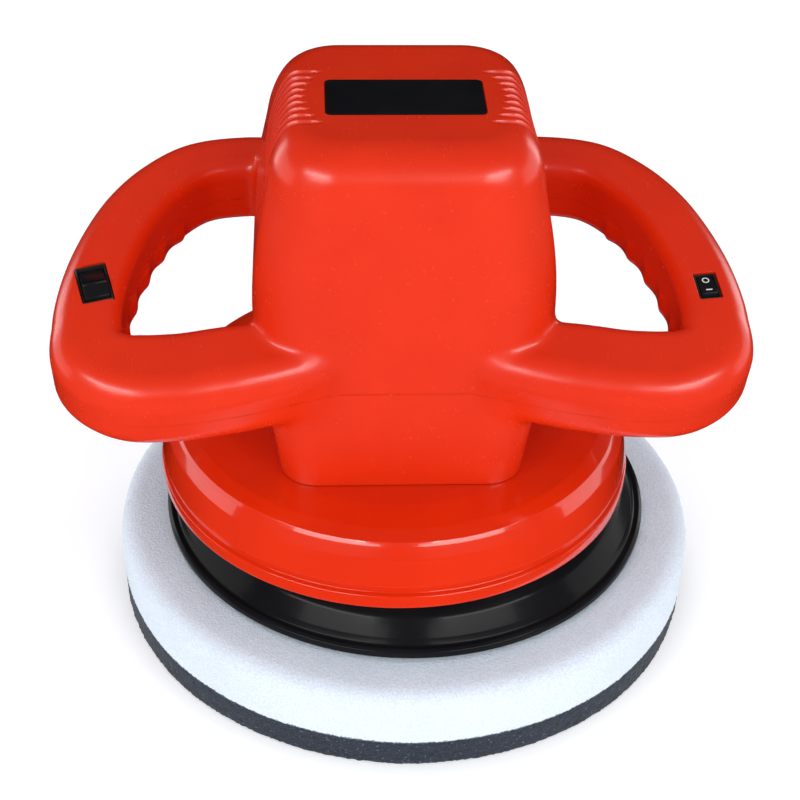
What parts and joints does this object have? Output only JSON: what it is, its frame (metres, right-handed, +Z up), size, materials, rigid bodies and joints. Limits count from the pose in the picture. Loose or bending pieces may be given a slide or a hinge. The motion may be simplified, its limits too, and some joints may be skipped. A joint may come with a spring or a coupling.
{
  "type": "dual action polisher",
  "caption": "Two-handed orbital car polisher: motor housing with D-loop handles, bell skirt and a foam pad driven by an eccentric.",
  "frame": {"origin": "on the floor under the motor shaft's axis, at the centre of the footprint", "axes": "+Z up along the motor shaft, +X towards the operator's right handle, the front of the housing towards -Y"},
  "size_m": [0.2606, 0.24, 0.2283],
  "materials": {
    "red_plastic": "glossy red-orange moulded plastic",
    "black_gloss_plastic": "glossy black moulded plastic",
    "black_plastic": "satin black plastic",
    "black_rubber": "matt rubber",
    "bright_steel": "ground or zinc-plated steel",
    "lamination_steel": "stacked electrical steel",
    "cast_iron": "as cast",
    "aluminium": "die-cast, machined seats",
    "copper": "enamelled copper wire and bars",
    "brass": "pressed brass",
    "carbon": "pressed carbon",
    "board": "coated glass-fibre board",
    "hook_fabric": "hook tape",
    "white_foam": "open-cell polyurethane foam",
    "grey_foam": "open-cell polyurethane foam"
  },
  "bodies": {
    "housing": {"upper_housing": "red_plastic", "lower_housing": "red_plastic", "base_skirt": "red_plastic", "label_plate": "black_gloss_plastic", "cable_gland": "black_rubber", "housing_screw_1": "bright_steel", "housing_screw_2": "bright_steel", "housing_screw_3": "bright_steel", "housing_screw_4": "bright_steel", "housing_screw_5": "bright_steel", "housing_screw_6": "bright_steel", "base_screw_1": "bright_steel", "base_screw_2": "bright_steel", "base_screw_3": "bright_steel", "base_screw_4": "bright_steel", "power_switch_body": "black_plastic", "speed_switch_body": "black_plastic", "stator_core": "lamination_steel", "field_coil_left": "copper", "field_coil_right": "copper", "lower_bearing_plate": "aluminium", "upper_bearing_bracket": "aluminium", "brush_holder_right": "brass", "carbon_brush_right": "carbon", "brush_spring_right": "bright_steel", "brush_holder_left": "brass", "carbon_brush_left": "carbon", "brush_spring_left": "bright_steel", "circuit_board": "board", "suppression_capacitor": "black_plastic", "upper_bearing_outer_race": "bright_steel", "lower_bearing_outer_race": "bright_steel"},
    "rotor": {"motor_shaft": "bright_steel", "armature_core": "lamination_steel", "armature_winding_upper": "copper", "armature_winding_lower": "copper", "commutator": "copper", "cooling_fan": "black_plastic", "eccentric_counterweight": "cast_iron", "upper_bearing_inner_race": "bright_steel", "lower_bearing_inner_race": "bright_steel", "eccentric_bearing_inner_race": "bright_steel", "pad_bolt": "bright_steel", "pad_washer": "bright_steel"},
    "pad": {"pad_hub": "aluminium", "eccentric_bearing_outer_race": "bright_steel", "hub_screw_1": "bright_steel", "hub_screw_2": "bright_steel", "hub_screw_3": "bright_steel", "hub_screw_4": "bright_steel", "backing_plate": "black_gloss_plastic", "hook_disc": "hook_fabric", "white_foam_pad": "white_foam", "grey_foam_pad": "grey_foam"},
    "upper_cage": {"upper_bearing_ball_cage": "bright_steel"},
    "lower_cage": {"lower_bearing_ball_cage": "bright_steel"},
    "eccentric_cage": {"eccentric_bearing_ball_cage": "bright_steel"},
    "power_rocker": {"power_rocker": "black_gloss_plastic"},
    "speed_rocker": {"speed_rocker": "black_gloss_plastic"}
  },
  "joints": [
    {"name": "shaft_spin", "type": "hinge", "parent": "housing", "child": "rotor", "pos_m": [0, 0, 0.09], "axis": [0, 0, 1], "continuous": true},
    {"name": "pad_spin", "type": "hinge", "parent": "rotor", "child": "pad", "pos_m": [0.005, 0, 0.051], "axis": [0, 0, 1], "continuous": true},
    {"name": "upper_cage_spin", "type": "hinge", "parent": "housing", "child": "upper_cage", "pos_m": [0, 0, 0.2075], "axis": [0, 0, 1], "continuous": true},
    {"name": "lower_cage_spin", "type": "hinge", "parent": "housing", "child": "lower_cage", "pos_m": [0, 0, 0.0895], "axis": [0, 0, 1], "continuous": true},
    {"name": "eccentric_cage_spin", "type": "hinge", "parent": "rotor", "child": "eccentric_cage", "pos_m": [0.005, 0, 0.051], "axis": [0, 0, 1], "continuous": true},
    {"name": "power_rocker_tilt", "type": "hinge", "parent": "housing", "child": "power_rocker", "pos_m": [0.1145, -0.02742, 0.15688], "axis": [0.9945, 0.1004, 0.0289], "range_deg": [0, 18]},
    {"name": "speed_rocker_tilt", "type": "hinge", "parent": "housing", "child": "speed_rocker", "pos_m": [-0.1145, -0.02442, 0.15774], "axis": [0.9659, 0.2487, 0.0716], "range_deg": [0, 14]}
  ],
  "couplings": [
    {"joint": "upper_cage_spin", "follows": "shaft_spin", "ratio": 0.37},
    {"joint": "lower_cage_spin", "follows": "shaft_spin", "ratio": 0.38},
    {"joint": "eccentric_cage_spin", "follows": "pad_spin", "ratio": 0.63}
  ]
}
